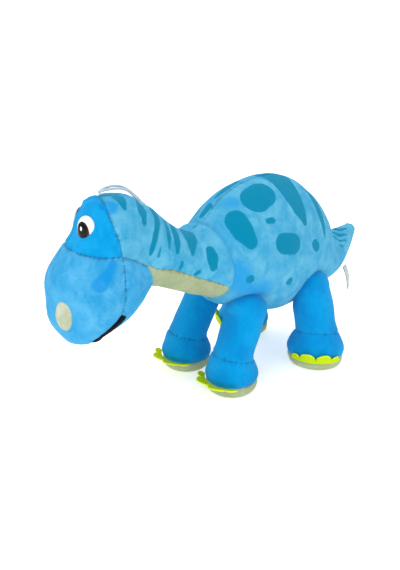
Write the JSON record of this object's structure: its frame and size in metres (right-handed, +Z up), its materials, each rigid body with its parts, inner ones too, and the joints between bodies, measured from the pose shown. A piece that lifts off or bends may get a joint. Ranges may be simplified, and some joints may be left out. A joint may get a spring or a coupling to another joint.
{
  "type": "stuffed dinosaur",
  "caption": "Long-necked stuffed dinosaur that stands on soft legs, sewn from plush panels over fibre filling, with a bending neck, head, tail and legs.",
  "frame": {"origin": "on the floor, below the middle of the dinosaur's length and width", "axes": "+Z up, the nose towards -Y, the dinosaur's own left side towards +X"},
  "size_m": [0.1854, 0.4262, 0.2229],
  "materials": {
    "printed_plush": "short-pile light blue plush, printed with teal spots and stripes",
    "face_plush": "short-pile sky blue plush with darker blue shading",
    "azure_plush": "short-pile azure plush",
    "cream_plush": "short-pile pale cream-green plush",
    "fibre_fill": "loose white polyester fibre",
    "black_felt": "matt black felt",
    "lime_felt": "matt lime felt",
    "eye_white": "glossy white moulded plastic",
    "eye_brown": "glossy printed dark brown and black",
    "washer_plastic": "natural white plastic",
    "satin_cord": "pale satin cord",
    "satin_ribbon": "pale satin ribbon"
  },
  "bodies": {
    "torso": {"torso_stuffing": "fibre_fill", "torso_panel_left": "printed_plush", "torso_panel_right": "printed_plush"},
    "neck": {"neck_stuffing": "fibre_fill", "neck_panel_left": "printed_plush", "neck_panel_right": "printed_plush", "throat_panel": "cream_plush"},
    "head": {"head_stuffing": "fibre_fill", "crown_panel_left": "printed_plush", "crown_panel_right": "printed_plush", "eye_patch_left": "azure_plush", "eye_patch_right": "azure_plush", "muzzle_panel_left": "face_plush", "muzzle_panel_right": "face_plush", "jaw_panel": "face_plush", "mouth_felt": "black_felt", "nostril_left": "cream_plush", "nostril_right": "cream_plush", "eye_left": "eye_white", "eye_right": "eye_white", "iris_left": "eye_brown", "iris_right": "eye_brown", "eye_washer_left": "washer_plastic", "eye_washer_right": "washer_plastic", "hang_loop": "satin_cord"},
    "tail": {"tail_stuffing": "fibre_fill", "tail_panel_left": "printed_plush", "tail_panel_right": "printed_plush", "care_label": "satin_ribbon"},
    "leg_front_left": {"front_left_leg_stuffing": "fibre_fill", "front_left_leg_sleeve": "azure_plush", "front_left_foot_cuff": "azure_plush", "front_left_sole": "cream_plush", "front_left_toes": "lime_felt"},
    "leg_front_right": {"front_right_leg_stuffing": "fibre_fill", "front_right_leg_sleeve": "azure_plush", "front_right_foot_cuff": "azure_plush", "front_right_sole": "cream_plush", "front_right_toes": "lime_felt"},
    "leg_rear_left": {"rear_left_leg_stuffing": "fibre_fill", "rear_left_leg_sleeve": "azure_plush", "rear_left_foot_cuff": "azure_plush", "rear_left_sole": "cream_plush", "rear_left_toes": "lime_felt"},
    "leg_rear_right": {"rear_right_leg_stuffing": "fibre_fill", "rear_right_leg_sleeve": "azure_plush", "rear_right_foot_cuff": "azure_plush", "rear_right_sole": "cream_plush", "rear_right_toes": "lime_felt"}
  },
  "joints": [
    {"name": "neck_bend", "type": "hinge", "parent": "torso", "child": "neck", "pos_m": [0, -0.03698, 0.1355], "axis": [1, 0, 0], "range_deg": [-12, 12], "stiffness_Nm_per_rad": 2},
    {"name": "head_nod", "type": "hinge", "parent": "neck", "child": "head", "pos_m": [0, -0.13298, 0.1775], "axis": [0.9272, -0.3746, 0], "range_deg": [-12, 12], "stiffness_Nm_per_rad": 0.8},
    {"name": "tail_bend", "type": "hinge", "parent": "torso", "child": "tail", "pos_m": [0, 0.11703, 0.0995], "axis": [1, 0, 0], "range_deg": [-15, 15], "stiffness_Nm_per_rad": 0.4},
    {"name": "front_left_leg_swing", "type": "hinge", "parent": "torso", "child": "leg_front_left", "pos_m": [0.033, -0.01897, 0.0815], "axis": [1, 0, 0], "range_deg": [-15, 15], "stiffness_Nm_per_rad": 2},
    {"name": "front_right_leg_swing", "type": "hinge", "parent": "torso", "child": "leg_front_right", "pos_m": [-0.033, -0.01897, 0.0815], "axis": [1, 0, 0], "range_deg": [-15, 15], "stiffness_Nm_per_rad": 2},
    {"name": "rear_left_leg_swing", "type": "hinge", "parent": "torso", "child": "leg_rear_left", "pos_m": [0.043, 0.07303, 0.0875], "axis": [1, 0, 0], "range_deg": [-15, 15], "stiffness_Nm_per_rad": 2},
    {"name": "rear_right_leg_swing", "type": "hinge", "parent": "torso", "child": "leg_rear_right", "pos_m": [-0.043, 0.07303, 0.0875], "axis": [1, 0, 0], "range_deg": [-15, 15], "stiffness_Nm_per_rad": 2}
  ]
}
